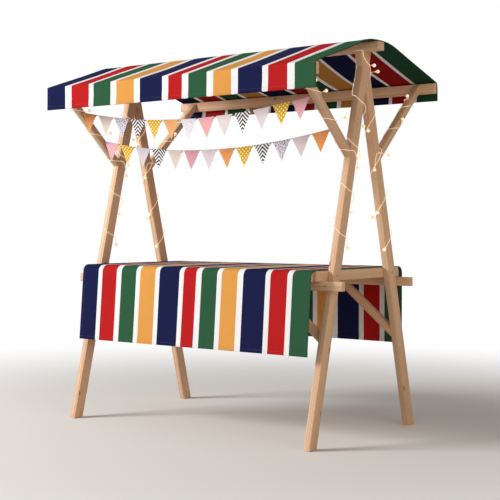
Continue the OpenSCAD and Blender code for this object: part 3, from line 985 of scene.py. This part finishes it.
bulb = {
    "diameter": 18 * mm,
    # the rest in radii of the globe
    "neck": -0.62,
    "neckSize": (0.82, 0.82, 1.12),
    "holder": 0.42,
    "holderTop": 0.2,
    "holderPlace": -0.97,
    "ribs": ((-0.02, 1.24), (-0.07, 1.0), (-0.02, 0.81), (-0.1, 1.0), (-0.02, 1.2),
             (-0.07, 1.0), (-0.05, 0.7)),  # each step down and how much wider it gets
    "leadEnd": 1.3,
}
cableOff = lightRun["cable"] / 2 + lightRun["gap"]


def toRear(p):
    return Vector((p[0], -p[1], p[2]))


def roundBar(middle, half, bearing, z, slack):
    c, s = cos(radians(bearing)), sin(radians(bearing))
    face = max(abs(c), abs(s))
    return Vector((frameMid + ((postHalfT + cableOff) / face + slack) * c,
                   middle + ((half + cableOff) / face + slack) * s, z))


def roundPost(bearing, z, slack=0.0):
    return roundBar(postY(z), postHalfW, bearing, z, slack * mm)


def roundStrut(bearing, share, fall):
    foot = Vector((postY(lightRun["strutFoot"]), lightRun["strutFoot"]))
    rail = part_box("front_eave_rail")
    head = Vector((rail[1].y, rail[1].z - lightRun["strutDrop"]))
    run = head - foot
    z = foot.y + run.y * share - fall * mm
    middle = foot.x + run.x * (z - foot.y) / run.y
    half = (lightRun["strutWidth"] / 2 + cableOff) * run.length / run.y - cableOff
    return roundBar(middle, half, bearing, z, 0.0)


def postTurns(end):
    turn, start, pitch = (lightRun[end + part] for part in ("Turn", "Start", "Pitch"))
    points = [roundPost(bearing, lightRun["strutFoot"] + (start - pitch * k - fall) * mm, slack)
              for k in range(lightRun["turns"]) for bearing, fall, slack in turn]
    return [p for p in points if p.z > lightRun["foot"]]


frontClimb = postTurns("front")[::-1]
overTops = [Vector((frameMid + side * (postHalfT + cableOff), y * mm, postTop + z * mm))
            for side, y, z in lightRun["topRun"]]
overTops += [toRear(roundPost(bearing, postTop - fall * mm, slack))
             for bearing, fall, slack in lightRun["rearLeadIn"]]
postRoute = frontClimb + overTops + [toRear(p) for p in postTurns("rear")[1:]]
turns = lightRun["strutTurns"]
strutRoute = [roundStrut(bearing, turns[0], fall) for bearing, fall in lightRun["strutStart"]]
strutRoute += [roundStrut(bearing, share, fall) for share in turns
               for bearing, fall in lightRun["strutTurn"]
               if share != turns[-1] or bearing < lightRun["strutStop"]]
for behind, over in lightRun["strutTail"]:
    z = lightRun["strutFoot"] + over * mm
    strutRoute.append(Vector((frameMid + postHalfT + cableOff, postY(z) + postHalfW + behind * mm, z)))
rearStrutRoute = [toRear(p) for p in strutRoute]


# Two wires laid round each other along a line
def addTwistedPair(shape, line):
    even = [line[0]]
    for p in line[1:]:
        if (p - even[-1]).length > lightRun["even"]:
            even.append(p)
    for turn in (0.0, pi):
        wire = []
        for p, along, (side, up) in zip(even, lengthsAlong(even), carriedAxes(even)):
            a = turn + 2 * pi * along / lightRun["twist"]
            wire.append(p + (side * cos(a) + up * sin(a)) * lightRun["wire"])
        addTube(shape, wire, lightRun["wire"], lightRun["sides"])


def cableMaterial():
    material, tree, shader = newMaterial("glowingCreamWire")
    colour = rampOf(tree, noiseOf(tree, objectPlace(tree), 60.0, 2.0),
                    [(0.3, rgb(252, 226, 196)), (0.7, rgb(255, 236, 212))])
    # a faint glow of its own, painted light that keeps the cable bright though it is no lamp
    setSockets(tree, shader, Base_Color=colour, Emission_Color=colour, Emission_Strength=0.42,
               Roughness=0.5, Specular_IOR_Level=0.25)
    return material


def bulbMaterial():
    material, tree, shader = newMaterial("warmBulb")
    # a pale crown that deepens to amber towards the holder, in a coordinate kept on each point
    height = addNode(tree, "Attribute", {"attribute_name": "crown"}).outputs["Fac"]
    colour = rampOf(tree, height, [
        (0.0, rgb(226, 168, 104)), (0.25, rgb(248, 204, 144)), (0.55, rgb(255, 234, 192)),
        (1.0, rgb(255, 250, 234))])
    setSockets(tree, shader, Base_Color=colour, Emission_Color=colour, Emission_Strength=0.6,
               Roughness=0.3, Specular_IOR_Level=0.3)
    return material


glowingCreamWire, warmBulb = cableMaterial(), bulbMaterial()


def bulbModel():
    # a frosted globe on a ribbed holder, standing along +Z with the globe's middle at the origin
    r = bulb["diameter"] / 2
    neck = bulb["neck"] * r
    globe = addPrimitive(bpy.ops.mesh.primitive_uv_sphere_add, segments=20, ring_count=14, radius=r)
    choosePoints(globe, lambda p: p.z < neck)
    bpy.ops.transform.resize(value=bulb["neckSize"], center_override=(0, 0, neck))
    bpy.ops.object.mode_set(mode="OBJECT")
    crown = globe.data.attributes.new("crown", "FLOAT", "POINT")
    for point, kept in zip(globe.data.vertices, crown.data):
        kept.value = 0.5 + 0.5 * point.co.z / r
    globe.data.materials.append(warmBulb)
    holder = addPrimitive(bpy.ops.mesh.primitive_cylinder_add, vertices=14,
                          radius=bulb["holder"] * r, depth=bulb["holderTop"] * r)
    choosePoints(holder, lambda p: p.z < 0)
    for step, widen in bulb["ribs"]:
        extrudeAlong(step * r, widen)
    raiseAll(bulb["holderPlace"] * r)
    # the holders share the cable's cream and its painted glow
    holder.data.materials.append(glowingCreamWire)
    for piece in (globe, holder):
        smoothShade(piece, 40)
    return globe, holder


def lightSpots():
    # where each lead starts, its way and length, and how far from the cable's middle it starts
    climb, top = len(frontClimb), len(frontClimb) + len(overTops)
    sides = [(postRoute, climb - 1 - turn * len(lightRun["frontTurn"]) - j, way)
             for turn, j, way in lightRun["frontLights"]]
    sides += [(postRoute, climb + i, way) for i, way in lightRun["topLights"]]
    sides += [(postRoute, top - 1 + turn * len(lightRun["rearTurn"]) + j, way)
              for turn, j, way in lightRun["rearLights"]]
    sides += [(strutRoute, i, way) for i, way in lightRun["frontStrutLights"]]
    sides += [(rearStrutRoute, i, toRear(way)) for i, way in lightRun["rearStrutLights"]]
    spots = []
    for route, i, way in sides:
        way, along = Vector(way) * mm, wayAt(route, i)
        square = (way - along * way.dot(along)).normalized()
        spots.append((route[i], square, way.length, lightRun["wire"]))
    for route in (postRoute, postRoute[::-1], strutRoute, rearStrutRoute):
        spots.append((route[-1], (route[-1] - route[-2]).normalized(), lightRun["endLead"], 0.0))
    return spots


globe, holder = bulbModel()
spots = lightSpots()


def makeLights(side, shift):
    shape = ([], [], [])
    for route in (postRoute, strutRoute, rearStrutRoute):
        addTwistedPair(shape, [p + shift for p in smoothLine(route, lightRun["steps"])])
    short = bulb["leadEnd"] * bulb["diameter"] / 2
    for place, way, length, start in spots:
        first, last = place + way * start + shift, place + way * (length - short) + shift
        addTube(shape, [first.lerp(last, k / 3) for k in range(4)], lightRun["lead"] / 2, lightRun["sides"])
    cable = meshPiece(side + "LightCable", *shape)
    cable.data.materials.append(glowingCreamWire)
    smoothShade(cable, 60)
    settle(cable, side + "_light_cable")
    bulbs = joinPieces([placedCopy(side + "Bulb", model, place + way * length + shift, way)
                        for place, way, length, start in spots for model in (globe, holder)])
    bulbs.name = side + "LightBulbs"
    settle(bulbs, side + "_light_bulbs")


makeLights("right", Vector())
makeLights("left", Vector((-2 * frameMid, 0, 0)))
bpy.data.objects.remove(globe)
bpy.data.objects.remove(holder)
print("lights wound")

# Stage: a pale floor that fades to white far off, soft light from the upper front left and a
# warm fill from the right
studio = {
    "floorRadius": 60,
    "floorSides": 96,
    "floorDrop": 0.5 * mm,  # under the feet
    "aim": (0, 0, 1.0),
    "floor": (0.62, 0.61, 0.60, 1),
    "floorSeen": (0.90, 0.89, 0.87, 1),
    "fadeFrom": 1.4,
    "fadeTo": 4.5,
    "worldTone": (1.0, 0.96, 0.92, 1),
    "worldStrength": 0.27,
    # place, size, power and tone of each lamp
    "key": ((-5.5, -6.5, 4.6), 3.6, 780, (1.0, 0.99, 0.98)),
    "fill": ((12.0, -5.0, 3.6), 6.8, 400, (1.0, 0.82, 0.65)),
}


def cameraSees(tree):
    rays = addNode(tree, "LightPath")
    seen = calc(tree, "MAXIMUM", rays.outputs["Is Camera Ray"], rays.outputs["Is Glossy Ray"])
    return calc(tree, "MAXIMUM", seen, rays.outputs["Is Transmission Ray"])


def makeFloor():
    floor = addPrimitive(bpy.ops.mesh.primitive_circle_add, vertices=studio["floorSides"],
                         radius=studio["floorRadius"], fill_type="NGON",
                         location=(0, 0, -studio["floorDrop"]))
    floor.name = "studioFloor"
    material, tree, shader = newMaterial("paleFloor")
    seen = cameraSees(tree)
    colour = blendColours(tree, seen, studio["floor"], studio["floorSeen"])
    setSockets(tree, shader, Base_Color=colour, Roughness=0.9, Specular_IOR_Level=0.1)
    away = addNode(tree, "VectorMath", {"operation": "LENGTH"})
    tree.links.new(objectPlace(tree), away.inputs[0])
    fade = addNode(tree, "MapRange", {"interpolation_type": "SMOOTHSTEP"},
                   Value=away.outputs["Value"], From_Min=studio["fadeFrom"],
                   From_Max=studio["fadeTo"]).outputs[0]
    white = addNode(tree, "Emission", Color=grey(1), Strength=1.0)
    mixShaders(tree, calc(tree, "MULTIPLY", fade, seen), shader.outputs[0], white.outputs[0],
               "Material Output")
    floor.data.materials.append(material)
    bpy.ops.object.transform_apply(location=True, rotation=True, scale=True)


def makeWorld():
    world = bpy.data.worlds.new("studioWorld")
    bpy.context.scene.world = world
    world.use_nodes = True
    tree = world.node_tree
    soft = tree.nodes["Background"]
    setSockets(tree, soft, Color=studio["worldTone"], Strength=studio["worldStrength"])
    white = addNode(tree, "Background", Color=grey(1), Strength=1.0)
    mixShaders(tree, cameraSees(tree), soft.outputs[0], white.outputs[0], "World Output")


def addLamp(kind):
    place, size, power, tone = studio[kind]
    turn = (Vector(studio["aim"]) - Vector(place)).to_track_quat("-Z", "Y").to_euler()
    bpy.ops.object.light_add(type="AREA", location=place, rotation=turn)
    lamp = bpy.context.object
    lamp.name = kind + "Lamp"
    lamp.data.size, lamp.data.energy, lamp.data.color = size, power, tone


makeFloor()
makeWorld()
addLamp("key")
addLamp("fill")
bpy.context.scene.view_settings.view_transform = "Standard"
print("studio lit")
